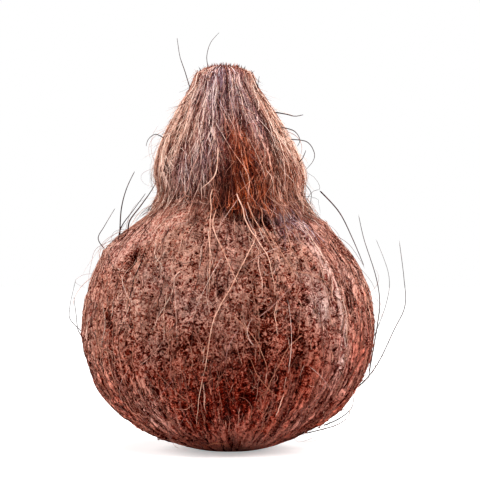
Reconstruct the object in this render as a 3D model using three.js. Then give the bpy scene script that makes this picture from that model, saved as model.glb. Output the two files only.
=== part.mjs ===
// A half-husked coconut: a ripe nut still in its coat of coir, with the tuft of long fibres left standing
// on its stalk end. It grew as one piece, so it is one solid.
// Millimetres, +Z up. The origin is on the resting face, below the middle of the nut.
import * as THREE from "three";

// Driving dimensions.
const nutRadius = 59.5; // mean greatest radius of the nut, before its corners and ribs
const equatorHeight = 49; // height of that greatest radius
const upperHalfHeight = 60.5; // from the equator to where the nut's own pole would be
const footRadius = 11; // the small flat spot that the nut rests on
const neckRadius = 29.2; // where the tuft grips the nut
const neckHeight = 106;
const tipRadius = 12; // the trimmed end of the tuft
const tipHeight = 160;
const tipLean = { x: -2.2, y: 1.2 }; // how far the tuft leans off the nut's axis
const leanHeights = { from: 104, full: 142 }; // where that lean starts and where it is full

// Waves round the nut and round the tuft. Each has a depth, the number of crests that it makes in one turn,
// the angle of one crest in radians, and how far that crest turns in each millimetre of height.
const nutWaves = [
  { depth: 0.9, crests: 3, angle: -0.5, twist: 0 }, // three blunt corners, one for each carpel of the fruit
  { depth: 0.6, crests: 2, angle: 0.5, twist: -0.008 }, // one cheek fuller than the other
  { depth: 0.5, crests: 13, angle: 0.1, twist: 0.0012 }, // ribs of matted fibre from pole to pole
  { depth: 0.4, crests: 21, angle: 0.9, twist: -0.0016 },
];
const tuftWaves = [
  { depth: 0.9, crests: 7, angle: 0.4, twist: 0.003 }, // locks of long fibre, gathered towards the tip
  { depth: 0.6, crests: 15, angle: 1.2, twist: -0.004 },
];

// The lower edge of the tuft, which hangs over the nut as an uneven skirt.
const skirt = { depth: 1.5, height: 103, edge: 2.5, sway: 2.4, swayAngle: 0.6, fadeFrom: 107, fadeTo: 126 };

// Swellings and hollows where the nut meets the tuft, each an oval round an angle and a height.
const swells = [
  { depth: 2, angle: -2.2, halfWidth: 0.55, height: 97, halfHeight: 9 }, // matted coir fills the neck here
  { depth: 1.2, angle: 3, halfWidth: 0.6, height: 83, halfHeight: 4.5 }, // a slight shoulder
  { depth: -3, angle: 3.1, halfWidth: 0.6, height: 94.5, halfHeight: 7 }, // the drawn-in neck above it
  { depth: -1.7, angle: 3.1, halfWidth: 0.7, height: 106, halfHeight: 8 },
  { depth: -0.9, angle: 0, halfWidth: 0.7, height: 101, halfHeight: 6 }, // and the same on the far side
  { depth: -1.5, angle: 0, halfWidth: 0.7, height: 87, halfHeight: 7 },
];

// Heights between which the nut's relief grows above the foot and fades under the tuft, and the same for the
// tuft's own.
const nutRelief = { from: 0.5, full: 22, fades: 90, ends: 104 };
const tuftRelief = { from: 98, full: 114, fades: 138, ends: 157 };

// How finely the skin is divided.
const columns = 88;
const rows = 50;

// Rises smoothly from 0 at low to 1 at high.
const rise = (value, low, high) => THREE.MathUtils.smoothstep(value, low, high);

// Rises to 1 and falls again between the heights of a range.
const within = (height, range) =>
  rise(height, range.from, range.full) * (1 - rise(height, range.fades, range.ends));

// The angle from middle, the short way round.
const around = (angle, middle) => Math.atan2(Math.sin(angle - middle), Math.cos(angle - middle));

// How much of a swelling is felt at an angle and a height: all in its middle, fading as a bell curve.
function swellAt(swell, angle, height) {
  const aside = around(angle, swell.angle) / swell.halfWidth;
  const above = (height - swell.height) / swell.halfHeight;
  return swell.depth * Math.exp(-aside * aside - above * above);
}

// Adds up a list of waves at an angle round the axis and a height.
const sumWaves = (waves, angle, height) =>
  waves.reduce(
    (sum, wave) => sum + wave.depth * Math.cos(wave.crests * (angle - wave.angle - wave.twist * height)),
    0,
  );

// Half of the upright section, from the edge of the foot up to the axis: a flattened arc under the equator,
// a round one over it, and a curve that draws in at the neck, swells over the tuft's shoulder and tapers to
// its cut end.
function outline() {
  const footAngle = Math.acos(footRadius / nutRadius);
  const lowerHalfHeight = equatorHeight / Math.sin(footAngle);
  const shoulderAngle = THREE.MathUtils.degToRad(50);
  const shoulderRadius = nutRadius * Math.cos(shoulderAngle);
  const shoulderHeight = equatorHeight + upperHalfHeight * Math.sin(shoulderAngle);
  const half = new THREE.CurvePath();
  half.add(new THREE.EllipseCurve(0, equatorHeight, nutRadius, lowerHalfHeight, -footAngle, 0));
  half.add(new THREE.EllipseCurve(0, equatorHeight, nutRadius, upperHalfHeight, 0, shoulderAngle));
  half.add(
    new THREE.SplineCurve([
      new THREE.Vector2(shoulderRadius, shoulderHeight),
      new THREE.Vector2(neckRadius + 3.2, neckHeight - 5),
      new THREE.Vector2(neckRadius, neckHeight),
      new THREE.Vector2(neckRadius + 0.4, neckHeight + 7),
      new THREE.Vector2(neckRadius - 1, neckHeight + 16),
      new THREE.Vector2(neckRadius - 5, neckHeight + 25.5),
      new THREE.Vector2(neckRadius - 10.4, neckHeight + 35.5),
      new THREE.Vector2(tipRadius + 2.2, tipHeight - 10.5),
      new THREE.Vector2(tipRadius, tipHeight - 4.5),
      new THREE.Vector2(tipRadius * 0.75, tipHeight - 1.3),
      new THREE.Vector2(0, tipHeight),
    ]),
  );
  return half;
}

// How far the skin stands out from the outline at an angle round the axis and a height.
function relief(angle, height) {
  const nut = within(height, nutRelief) * sumWaves(nutWaves, angle, height);
  const tuft = within(height, tuftRelief) * sumWaves(tuftWaves, angle, height);
  const hem = skirt.height + skirt.sway * Math.sin(2 * (angle - skirt.swayAngle));
  const overhang =
    skirt.depth * rise(height, hem - skirt.edge, hem) * (1 - rise(height, skirt.fadeFrom, skirt.fadeTo));
  const swollen = swells.reduce((sum, swell) => sum + swellAt(swell, angle, height), 0);
  return nut + tuft + overhang + swollen;
}

// Turns the outline about the axis, then gives the skin its relief and the tuft its lean.
function coconutShape() {
  const section = outline().getSpacedPoints(rows);
  section[section.length - 1].x = 0; // the last point is the pole, exactly on the axis
  section.unshift(new THREE.Vector2(0, 0)); // closes the foot as a flat disc
  const shape = new THREE.LatheGeometry(section, columns);
  shape.rotateX(Math.PI / 2); // a lathe turns about Y; the nut stands along Z
  const place = shape.getAttribute("position");
  for (let i = 0; i < place.count; i++) {
    const height = place.getZ(i);
    const radius = Math.hypot(place.getX(i), place.getY(i));
    const angle = Math.atan2(place.getY(i), place.getX(i));
    const towardsPole = Math.min(1, radius / tipRadius);
    const grown = height > 0 ? radius + relief(angle, height) * towardsPole : radius;
    const lean = rise(height, leanHeights.from, leanHeights.full);
    place.setX(i, grown * Math.cos(angle) + lean * tipLean.x);
    place.setY(i, grown * Math.sin(angle) + lean * tipLean.y);
  }
  shape.computeVertexNormals();
  return shape;
}

const coir = new THREE.MeshStandardMaterial({ color: 0x8a5144, roughness: 0.95, metalness: 0 });

const coconut = new THREE.Mesh(coconutShape(), coir);
coconut.name = "coconut";

const part = new THREE.Group();
part.add(coconut);

export default part;
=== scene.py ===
import bpy
import numpy as np
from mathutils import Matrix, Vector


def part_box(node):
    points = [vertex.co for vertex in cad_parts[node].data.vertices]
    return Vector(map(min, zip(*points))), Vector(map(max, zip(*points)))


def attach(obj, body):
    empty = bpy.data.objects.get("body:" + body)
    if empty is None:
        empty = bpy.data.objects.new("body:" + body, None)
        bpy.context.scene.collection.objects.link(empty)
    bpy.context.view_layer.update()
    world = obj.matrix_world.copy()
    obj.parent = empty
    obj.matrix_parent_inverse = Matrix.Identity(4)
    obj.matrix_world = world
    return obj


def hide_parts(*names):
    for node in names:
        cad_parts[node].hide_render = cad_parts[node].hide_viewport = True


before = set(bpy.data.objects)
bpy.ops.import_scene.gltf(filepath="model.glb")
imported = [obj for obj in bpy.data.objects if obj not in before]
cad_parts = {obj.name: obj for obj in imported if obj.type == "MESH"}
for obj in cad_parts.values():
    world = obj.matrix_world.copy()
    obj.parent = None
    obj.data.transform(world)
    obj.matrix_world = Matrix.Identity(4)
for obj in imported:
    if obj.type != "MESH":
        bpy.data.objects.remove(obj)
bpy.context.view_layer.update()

lowCorner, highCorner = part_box("coconut")

# The outline of the nut, the same as its solid's. Shapes are worked out in the solid's own millimetres, and
# unit turns those into metres when a mesh is made.
nut = {
    "radius": 59.5,  # mean greatest radius, before the corners and ribs
    "equator": 49.0,  # height of that greatest radius
    "upperHalf": 60.5,  # from the equator to where the nut's own pole would be
    "footRadius": 11.0,  # the small flat spot that the nut rests on
    "shoulderAngle": np.radians(50),  # where the round of the nut turns in to the neck
    "neckRadius": 29.2, "neckHeight": 106.0,
    "tipRadius": 12.0, "tipHeight": 160.0,  # the trimmed end of the tuft
    "tipLean": (-2.2, 1.2, 0.0), "leanFrom": 104.0, "leanFull": 142.0,
    # depth, crests in one turn, angle of a crest, twist with each millimetre of height
    "waves": [(0.9, 3, -0.5, 0.0), (0.6, 2, 0.5, -0.008), (0.5, 13, 0.1, 0.0012), (0.4, 21, 0.9, -0.0016)],
    "tuftWaves": [(0.9, 7, 0.4, 0.003), (0.6, 15, 1.2, -0.004)],
    # depth, angle, half width, height, half height of the swellings and hollows where the nut meets the tuft
    "swells": [
        (2.0, -2.2, 0.55, 97, 9), (1.2, 3.0, 0.6, 83, 4.5), (-3.0, 3.1, 0.6, 94.5, 7),
        (-1.7, 3.1, 0.7, 106, 8), (-0.9, 0.0, 0.7, 101, 6), (-1.5, 0.0, 0.7, 87, 7),
    ],
}
unit = (highCorner[2] - lowCorner[2]) / nut["tipHeight"]
front = -90  # degrees round the axis: the side that faces the camera, with the right-hand side at 0


def rise(value, low, high):
    # 0 up to low, 1 from high on, and 3t^2 - 2t^3 between them
    t = np.clip((value - low) / (high - low), 0, 1)
    return t * t * (3 - 2 * t)


def fall(value, low, high):
    # 1 up to low, 0 from high on, and 1 less the rise between them
    return 1 - rise(value, low, high)


def around(angle, middle):
    # The angle from middle, brought to between -pi and pi
    return (angle - middle + np.pi) % (2 * np.pi) - np.pi


def bell(away, half):
    # e^-(away/half)^2: 1 in the middle, and hardly anything past twice half
    return np.exp(-((away / half) ** 2))


def bellAt(angle, degrees, half):
    # The bell of an angle's distance, round the axis, from a middle given in degrees
    return bell(around(angle, np.radians(degrees)), half)


def throughPoints(knots, count):
    # Catmull-Rom: between two points runs a cubic whose slope at each is half the step between its
    # neighbours
    padded = np.concatenate([knots[:1], knots, knots[-1:]])
    t = np.linspace(0, len(knots) - 1, count)
    k = np.minimum(t.astype(int), len(knots) - 2)
    part = (t - k)[:, None]
    before, start, end, after = padded[k], padded[k + 1], padded[k + 2], padded[k + 3]
    leave, arrive = (end - before) / 2, (after - start) / 2
    return (
        (2 * start - 2 * end + leave + arrive) * part**3
        + (3 * end - 3 * start - 2 * leave - arrive) * part**2
        + leave * part
        + start
    )


def halfSection():
    # The foot is a straight line. The nut is x = R cos a, z = equator + H sin a, with one H under the
    # equator and another over it. The neck and the tuft are one curve through a few points.
    radius, equator, upperHalf = nut["radius"], nut["equator"], nut["upperHalf"]
    footAngle = np.arccos(nut["footRadius"] / radius)
    lowerHalf = equator / np.sin(footAngle)
    under = np.linspace(-footAngle, 0, 300)
    over = np.linspace(0, nut["shoulderAngle"], 300)
    neck, neckHeight = nut["neckRadius"], nut["neckHeight"]
    tip, tipHeight = nut["tipRadius"], nut["tipHeight"]
    lower = np.stack([radius * np.cos(under), equator + lowerHalf * np.sin(under)], 1)
    upper = np.stack([radius * np.cos(over), equator + upperHalf * np.sin(over)], 1)
    knots = np.array([
        upper[-1],
        (neck + 3.2, neckHeight - 5),
        (neck, neckHeight),
        (neck + 0.4, neckHeight + 7),
        (neck - 1, neckHeight + 16),
        (neck - 5, neckHeight + 25.5),
        (neck - 10.4, neckHeight + 35.5),
        (tip + 2.2, tipHeight - 10.5),
        (tip, tipHeight - 4.5),
        (tip * 0.75, tipHeight - 1.3),
        (0, tipHeight),
    ])
    line = np.concatenate([[(0, 0)], lower, upper[1:], throughPoints(knots, 600)[1:]])
    run = np.concatenate([[0], np.cumsum(np.linalg.norm(np.diff(line, axis=0), axis=1))])
    return run, line, np.gradient(line, run, axis=0)


sectionRun, sectionLine, sectionSlope = halfSection()


def runAt(height):
    # Length along the section, from the middle of the foot, at a height
    return np.interp(height, sectionLine[1:, 1], sectionRun[1:])


def radiusAt(height):
    # Radius of the section at a height, read off its line
    return np.interp(height, sectionLine[1:, 1], sectionLine[1:, 0])


def radiusOn(run):
    # Radius of the section at a length along it
    return np.interp(run, sectionRun, sectionLine[:, 0])


def heightOn(run):
    # Height of the section at a length along it
    return np.interp(run, sectionRun, sectionLine[:, 1])


def onCylinder(angle, height, radius):
    # x = r cos a, y = r sin a, z = height
    return np.stack([radius * np.cos(angle), radius * np.sin(angle), height + 0 * angle], -1)


def sumWaves(waves, angle, height):
    # The sum of depth cos(crests (a - at - twist height)) over the waves
    return sum(depth * np.cos(crests * (angle - at - twist * height)) for depth, crests, at, twist in waves)


def nutRelief(angle, height):
    # Corners and ribs of the nut, and the swellings of its neck
    ribs = rise(height, 0.5, 22) * fall(height, 90, 104) * sumWaves(nut["waves"], angle, height)
    return ribs + sum(
        depth * bell(around(angle, at), halfWidth) * bell(height - up, halfHeight)
        for depth, at, halfWidth, up, halfHeight in nut["swells"]
    )


def hemAt(angle):
    # Height of the tuft's lower edge, which sways twice in a turn and hangs lower under the red mat in front
    return 103 + 2.4 * np.sin(2 * (angle - 0.6)) - 6.5 * bellAt(angle, -72, 0.5)


def wholeRelief(angle, height):
    # The same, with the locks of the tuft and the skirt that it hangs over the nut
    locks = rise(height, 98, 114) * fall(height, 138, 157) * sumWaves(nut["tuftWaves"], angle, height)
    hem = hemAt(angle)
    skirt = 1.5 * rise(height, hem - 2.5, hem) * fall(height, 107, 126)
    return nutRelief(angle, height) + locks + skirt


def placeOn(relief, angle, run, lift, least=-9):
    # A point of the section, pushed out by the relief, lifted along the outline's normal, turned to its
    # angle and leaned. No point comes lower than least.
    radius, height = radiusOn(run), heightOn(run)
    outward = np.interp(run, sectionRun, sectionSlope[:, 1])
    upward = -np.interp(run, sectionRun, sectionSlope[:, 0])
    grown = radius + relief(angle, height) * np.minimum(1, radius / nut["tipRadius"]) + lift * outward
    place = onCylinder(angle, height + lift * upward, grown)
    place = place + rise(height, nut["leanFrom"], nut["leanFull"])[..., None] * np.array(nut["tipLean"])
    place[..., 2] = np.maximum(place[..., 2], least)
    return place


tableSide = 32  # cubes of the noise before it repeats


def cubesOf(place, size):
    # Which cube of that size each point is in, and which part of the way across it
    cell = np.floor(place / size).astype(int)
    return cell, place / size - cell


def softNoise(place, size, seed):
    # Value noise from -1 to 1: a random number at each corner of cubes of that size, blended along each axis
    table = np.random.default_rng(seed).random((tableSide,) * 3)
    cell, part = cubesOf(place, size)
    part = rise(part, 0, 1)
    total = 0
    for corner in np.ndindex(2, 2, 2):
        x, y, z = np.moveaxis((cell + corner) % tableSide, -1, 0)
        total = total + np.prod(np.where(corner, part, 1 - part), -1) * table[x, y, z]
    return 2 * total - 1


def domes(place, size, seed):
    # Rounded lumps: 1 less the squared distance to the nearest of points scattered one to a cube
    table = np.random.default_rng(seed).random((tableSide,) * 3 + (3,))
    cell = cubesOf(place, size)[0]
    nearest = np.full(place.shape[:-1], 9.0)
    for corner in np.ndindex(3, 3, 3):
        neighbour = cell + corner - 1
        x, y, z = np.moveaxis(neighbour % tableSide, -1, 0)
        away = neighbour + table[x, y, z] - place / size
        nearest = np.minimum(nearest, (away**2).sum(-1))
    return 1 - nearest


def addObject(name, data):
    # Puts a mesh, camera or lamp in the scene under its name
    thing = bpy.data.objects.new(name, data)
    bpy.context.scene.collection.objects.link(thing)
    return thing


def makeMesh(name, points, faces, spots, values, material):
    # points in the solid's millimetres, faces as triangles, spots as one map place for each corner of each
    # face, and values as named numbers, one for each point
    mesh = bpy.data.meshes.new(name)
    mesh.vertices.add(len(points))
    mesh.vertices.foreach_set("co", (points * unit).astype(np.float32).ravel())
    mesh.loops.add(faces.size)
    mesh.loops.foreach_set("vertex_index", faces.astype(np.int32).ravel())
    mesh.polygons.add(len(faces))
    mesh.polygons.foreach_set("loop_start", np.arange(0, faces.size, 3, dtype=np.int32))
    mesh.polygons.foreach_set("use_smooth", np.ones(len(faces), dtype=bool))
    mesh.uv_layers.new(name="OFBake").data.foreach_set("uv", spots.astype(np.float32).ravel())
    for key, numbers in values.items():
        kind, field = ("FLOAT_VECTOR", "vector") if numbers.size == 3 * len(points) else ("FLOAT", "value")
        mesh.attributes.new(key, kind, "POINT").data.foreach_set(field, numbers.astype(np.float32).ravel())
    mesh.materials.append(material)
    mesh.update(calc_edges=True)
    mesh.validate()
    piece = addObject(name, mesh)
    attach(piece, "root")
    print(f"{name}: {len(faces)} triangles")
    return piece


def closedSkin(name, grid, lowPole, highPole, values, material):
    # A skin of rows by columns that closes on itself round the axis and on a single point at each end. Each
    # end point takes the mean value of its row.
    rows, columns = grid.shape[:2]
    index = np.arange(rows * columns).reshape(rows, columns)
    beside = np.roll(index, -1, axis=1)
    a, b, c, d = index[:-1], beside[:-1], beside[1:], index[1:]
    walls = np.stack([a, b, c, a, c, d], -1).reshape(-1, 3)
    floor = np.stack([beside[0], index[0], np.full(columns, rows * columns)], -1)
    roof = np.stack([index[-1], beside[-1], np.full(columns, rows * columns + 1)], -1)
    u0, v = np.meshgrid(np.arange(columns) / columns, (np.arange(rows) + 1) / (rows + 1))
    u1 = u0 + 1 / columns
    left, right, low, high = u0[:-1], u1[:-1], v[:-1], v[1:]
    middle = (u0[0] + u1[0]) / 2
    spots = [
        np.stack([left, low, right, low, right, high, left, low, right, high, left, high], -1),
        np.stack([u1[0], v[0], u0[0], v[0], middle, np.zeros(columns)], -1),
        np.stack([u0[-1], v[-1], u1[-1], v[-1], middle, np.ones(columns)], -1),
    ]
    spread = {}
    for key, numbers in values.items():
        field = numbers.reshape(rows, columns, -1)
        spread[key] = np.concatenate([field.reshape(rows * columns, -1), field[[0, -1]].mean(1)])
    points = np.concatenate([grid.reshape(-1, 3), [lowPole, highPole]])
    spots = np.concatenate([corners.reshape(-1, 3, 2) for corners in spots])
    return makeMesh(name, points, np.concatenate([walls, floor, roof]), spots, spread, material)


def manyShapes(name, points, faces, spots, values, material):
    # Many small shapes in one mesh: points are those of each shape, and faces and spots those of a single
    # one. Each shape has its own square cell of the map.
    count, each = points.shape[:2]
    side = int(np.ceil(np.sqrt(count)))
    cell = np.stack([np.arange(count) % side, np.arange(count) // side], -1)[:, None, None]
    allFaces = (faces[None] + np.arange(count)[:, None, None] * each).reshape(-1, 3)
    allSpots = (cell + 0.06 + 0.88 * spots[None]) / side
    makeMesh(name, points.reshape(-1, 3), allFaces, allSpots, values, material)


def unitLength(vectors):
    # Each vector divided by its length, and a zero vector stays zero
    return vectors / (np.linalg.norm(vectors, axis=-1, keepdims=True) + 1e-9)


def strandBundle(name, paths, widths, tone, rust, ageing, material, seed):
    # Each strand is a closed tube of three sides: at each inner point of its path stands a triangle across
    # the path, and both ends are drawn to a point. What colours it is given for each strand or each point.
    count, steps = paths.shape[:2]
    along = unitLength(np.gradient(paths, axis=1))
    sideways = unitLength(np.cross(along, paths - np.array([0, 0, nut["equator"]])))
    upright = np.cross(sideways, along)
    roll = np.random.default_rng(seed).random(count)[:, None, None, None] * 2 * np.pi
    corner = roll + np.arange(3)[None, None, :, None] * 2 * np.pi / 3
    inner = slice(1, -1)
    rings = paths[:, inner, None] + widths[:, inner, None, None] * (
        np.cos(corner) * sideways[:, inner, None] + np.sin(corner) * upright[:, inner, None]
    )
    points = np.concatenate([paths[:, :1], rings.reshape(count, -1, 3), paths[:, -1:]], axis=1)
    each = points.shape[1]
    ring = 1 + 3 * np.arange(steps - 2)
    v = (np.arange(steps - 2) + 1) / (steps - 1)
    low, high = v[:-1], v[1:]
    faces, spots = [], []
    for side in range(3):
        a, b = ring + side, ring + (side + 1) % 3
        faces += [np.stack([a[:-1], b[:-1], b[1:]], 1), np.stack([a[:-1], b[1:], a[1:]], 1)]
        faces += [np.array([[b[0], a[0], 0], [a[-1], b[-1], each - 1]])]
        u0, u1, middle = side / 3, (side + 1) / 3, (side + 0.5) / 3
        left, right = np.full(steps - 3, u0), np.full(steps - 3, u1)
        spots += [np.stack([left, low, right, low, right, high], 1)]
        spots += [np.stack([left, low, right, high, left, high], 1)]
        spots += [np.array([[u1, v[0], u0, v[0], middle, 0], [u0, v[-1], u1, v[-1], middle, 1]])]
    values = {"crest" if material == pith else "tone": tone, "rust": rust, "ageing": ageing}
    for key, numbers in values.items():
        if numbers.ndim == 1:
            values[key] = np.repeat(numbers[:, None], each, axis=1)
        else:
            ringed = np.repeat(numbers[:, inner], 3, axis=1)
            values[key] = np.concatenate([numbers[:, :1], ringed, numbers[:, -1:]], axis=1)
    manyShapes(
        name, points, np.concatenate(faces), np.concatenate(spots).reshape(-1, 3, 2), values, material
    )


def linear(hexColour):
    # sRGB to linear light: v / 12.92 up to 0.04045, and ((v + 0.055) / 1.055) ^ 2.4 above it
    parts = np.array([int(hexColour[at:at + 2], 16) for at in (1, 3, 5)]) / 255
    parts = np.where(parts <= 0.04045, parts / 12.92, ((parts + 0.055) / 1.055) ** 2.4)
    return (*parts.tolist(), 1.0)


def newMaterial(name):
    # A material with an empty node tree
    material = bpy.data.materials.new(name)
    material.use_nodes = True
    material.node_tree.nodes.clear()
    return material


def addNode(material, kind, settings, links=()):
    # Adds one node, sets its properties and sockets, and links its sockets to other nodes: to a node's first
    # output, or to the output that is named with it
    node = material.node_tree.nodes.new("ShaderNode" + kind)
    for key, value in settings.items():
        if isinstance(key, str) and hasattr(node, key):
            setattr(node, key, value)
        else:
            node.inputs[key].default_value = value
    for key, source in dict(links).items():
        source, output = source if isinstance(source, tuple) else (source, 0)
        material.node_tree.links.new(source.outputs[output], node.inputs[key])
    return node


def given(material, names):
    # What the mesh says of each point
    return [(addNode(material, "Attribute", {"attribute_name": name}), "Fac") for name in names]


def colourBy(material, tone, fresh, weathered, rust, rustTint, ageing):
    # Two ramps from dark to light, as places and sRGB hex, for fresh and for weathered coir. Rust tints the
    # fresh one, and ageing goes over to the weathered one.
    ramps = []
    for stops in (fresh, weathered):
        ramp = addNode(material, "ValToRGB", {}, {"Fac": tone})
        elements = ramp.color_ramp.elements
        while len(elements) < len(stops):
            elements.new(0.5)
        for element, (place, colour) in zip(elements, stops):
            element.position = place
            element.color = linear(colour)
        ramps.append(ramp)
    tint = {"data_type": "RGBA", "blend_type": "MULTIPLY", 7: linear(rustTint)}
    rusty = addNode(material, "Mix", tint, {0: rust, 6: ramps[0]}), 2
    return addNode(material, "Mix", {"data_type": "RGBA"}, {0: ageing, 6: rusty, 7: ramps[1]}), 2


def dryFibreShader(material, settings, links):
    # Dry plant fibre is matt, with at most a faint pale sheen at grazing angles from its fine fuzz
    usual = {"IOR": 1.45, "Sheen Roughness": 0.5, "Sheen Tint": linear("#f0cdbd")}
    shader = addNode(material, "BsdfPrincipled", {**usual, **settings}, links)
    addNode(material, "OutputMaterial", {}, {"Surface": shader})


def coirPith():
    # Coir pith: the crumbly cork that binds the fibres of a husk, torn and dried. It breaks into rounded
    # crumbs a millimetre or two wide, dusty pinkish brown, with deep red-brown cracks between them. The tops
    # of the crumbs are painted lighter and the cracks darker, as painted light and shade.
    # Where it is scraped down to the fibres, ridges run along them, and where it has weathered it is greyer.
    material = newMaterial("torn_coir_pith")
    place = addNode(material, "TexCoord", {}), "Object"
    crest, rust, ageing, bare, smooth = given(material, ("crest", "rust", "ageing", "bare", "smooth"))
    along = addNode(material, "Attribute", {"attribute_name": "along"}), "Vector"
    # Each noise by where it is read, the size of its spots in metres, its detail, roughness and distortion
    grain, blotches, swirl, curls, edges, heap, streak = (
        addNode(
            material, "TexNoise",
            {"Scale": 1 / size, "Detail": detail, "Roughness": roughness, "Distortion": distortion},
            {"Vector": where},
        )
        for where, size, detail, roughness, distortion in (
            (place, 0.0008, 3.0, 0.6, 0.0), (place, 0.009, 3.0, 0.6, 0.0), (place, 0.002, 3.0, 0.6, 0.0),
            (place, 0.0019, 2.0, 0.5, 0.8), (place, 0.0016, 1.5, 0.5, 1.2), (place, 0.0014, 4.0, 0.65, 0.8),
            (along, 0.0013, 2.0, 0.6, 0.4),
        )
    )
    # The crumbs are cells whose walls a noise has pushed about, and each falls off to a crack near its wall
    push = {"operation": "MULTIPLY_ADD", 1: (0.0042, 0.0042, 0.0042)}
    pushed = addNode(material, "VectorMath", push, {0: (swirl, "Color"), 2: place})
    walls = {"feature": "DISTANCE_TO_EDGE", "Scale": 1 / 0.0019}
    cells = addNode(material, "TexVoronoi", walls, {"Vector": pushed})
    lumps = addNode(material, "Math", {"operation": "MULTIPLY", 1: 1.7}, {0: cells})
    # The middle value of a noise draws winding lines, |2n - 1| rises to both sides of them, and height falls
    # off with it. The broad lines make some places curly. The thin ones are the upturned edges of crumbs,
    # which get a painted highlight.
    lines = []
    for noise, slope, top in ((curls, -2.8, 0.62), (edges, -7.0, 1.0)):
        fromMiddle = addNode(material, "Math", {"operation": "MULTIPLY_ADD", 1: 2.0, 2: -1.0}, {0: noise})
        eitherSide = addNode(material, "Math", {"operation": "ABSOLUTE"}, {0: fromMiddle})
        falling = {"operation": "MULTIPLY_ADD", "use_clamp": True, 1: slope, 2: top}
        lines.append(addNode(material, "Math", falling, {0: eitherSide}))
    winding, paintedEdgeHighlight = lines
    curly = addNode(material, "MapRange", {"From Min": 0.34, "From Max": 0.52}, {"Value": blotches})
    shape = addNode(material, "Mix", {"data_type": "FLOAT"}, {0: curly, 2: lumps, 3: winding})
    # A noise heaps some crumbs up and sinks others, so that only the deep cracks get dark painted shade
    heaped = addNode(material, "Math", {"operation": "MULTIPLY_ADD", 1: 2.0, 2: -0.75}, {0: heap})
    crumb = addNode(material, "Math", {"operation": "ADD"}, {0: shape, 1: heaped})
    steep = {"operation": "MULTIPLY_ADD", "use_clamp": True, 1: 4.2, 2: -1.5}
    ridge = addNode(material, "Math", steep, {0: streak})
    height = addNode(material, "Mix", {"data_type": "FLOAT"}, {0: bare, 2: crumb, 3: ridge})
    calm = addNode(material, "Mix", {"data_type": "FLOAT", 3: 0.6}, {0: smooth, 2: height})
    reach = {"From Min": 0.05, "From Max": 1.35, "To Min": 0.0, "To Max": 1.55}
    lift = addNode(material, "MapRange", reach, {"Value": calm})
    # What is high is painted lighter and what is low darker, as painted shade in the cracks and grooves.
    # Blotches and grain add to it, and the thin edges add a painted highlight.
    tone = addNode(material, "Math", {"operation": "ADD"}, {0: lift, 1: crest})
    for source, weight in ((blotches, 0.12), (grain, 1.0), (paintedEdgeHighlight, 0.34)):
        tone = addNode(material, "Math", {"operation": "MULTIPLY_ADD", 1: weight}, {0: source, 2: tone})
    tone = addNode(material, "Math", {"operation": "SUBTRACT", 1: 1.1}, {0: tone})
    colour = colourBy(
        material, tone,
        [(0.08, "#2e0401"), (0.31, "#842615"), (0.52, "#ca6c52"), (0.69, "#fdbfa8")],
        [(0.08, "#300b08"), (0.31, "#7c403c"), (0.52, "#b98782"), (0.69, "#eac6bf")],
        rust, "#d0664a", ageing,
    )
    bump = addNode(material, "Bump", {"Strength": 1.0, "Distance": 0.0026}, {"Height": calm})
    matt = {"Roughness": 0.95, "Specular IOR Level": 0.0, "Sheen Weight": 0.0}
    dryFibreShader(material, matt, {"Base Color": colour, "Normal": bump})
    return material


def coirFibre():
    # Coir fibre: tough strands of a ripe husk, stiff and dry, a little shinier than the pith. They run from
    # dark brown through tan to a pale pinkish grey where they have weathered.
    material = newMaterial("dry_coir_fibre")
    place = addNode(material, "TexCoord", {}), "Object"
    tone, rust, ageing = given(material, ("tone", "rust", "ageing"))
    mottling = {"Scale": 1 / 0.0025, "Detail": 2.0, "Roughness": 0.6}
    mottle = addNode(material, "TexNoise", mottling, {"Vector": place})
    shade = addNode(material, "Math", {"operation": "MULTIPLY_ADD", 1: 0.5}, {0: mottle, 2: tone})
    total = addNode(material, "Math", {"operation": "SUBTRACT", 1: 0.25}, {0: shade})
    colour = colourBy(
        material, total,
        [(0.1, "#2b0903"), (0.36, "#7e4433"), (0.6, "#c08a72"), (0.88, "#f8dac8")],
        [(0.1, "#2f1114"), (0.36, "#78545f"), (0.6, "#aa8794"), (0.88, "#e6ced0")],
        rust, "#e4834c", ageing,
    )
    shinier = {"Roughness": 0.65, "Specular IOR Level": 0.08, "Sheen Weight": 0.02}
    dryFibreShader(material, shinier, {"Base Color": colour})
    return material


pith = coirPith()
fibre = coirFibre()

studio = {
    "distance": 1.25,
    "elevation": np.radians(1.5),
    "frameWidth": 0.198,  # what the view spans at the nut
    "target": (0.0045, 0.0, 0.0865),
    "world": 0.26,
    # name, place, size and power of each lamp
    "lamps": [
        ("left_softbox", (-0.8, -0.05, 0.5), 0.55, 8.4),
        ("right_softbox", (0.8, 0.0, 0.5), 0.55, 10.2),
        ("top_softbox", (-0.05, -0.32, 0.95), 0.8, 9.4),
    ],
    "lampTarget": (0, 0, 0.07),
    "floorRadius": 1.6,
    # how much camera rays see the paper lifted, under the nut and far from it
    "nearGlow": 0.42, "farGlow": 0.8,
}


def aimAt(thing, target):
    # Turns a camera or lamp so that its -Z axis points at the target
    away = np.array(thing.location) - np.array(target)
    away /= np.linalg.norm(away)
    thing.rotation_euler = (np.arccos(away[2]), 0, np.arctan2(away[1], away[0]) + np.pi / 2)


def makeCamera():
    # The camera looks at the target from the front and a little above. Its focal length is
    # sensor width x distance / width of what the view spans there.
    lens = bpy.data.cameras.new("camera")
    camera = addObject("camera", lens)
    x, y, z = studio["target"]
    reach = studio["distance"]
    camera.location = (x, y - reach * np.cos(studio["elevation"]), z + reach * np.sin(studio["elevation"]))
    aimAt(camera, studio["target"])
    lens.sensor_width = 36
    lens.lens = lens.sensor_width * reach / studio["frameWidth"]
    bpy.context.scene.camera = camera


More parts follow.
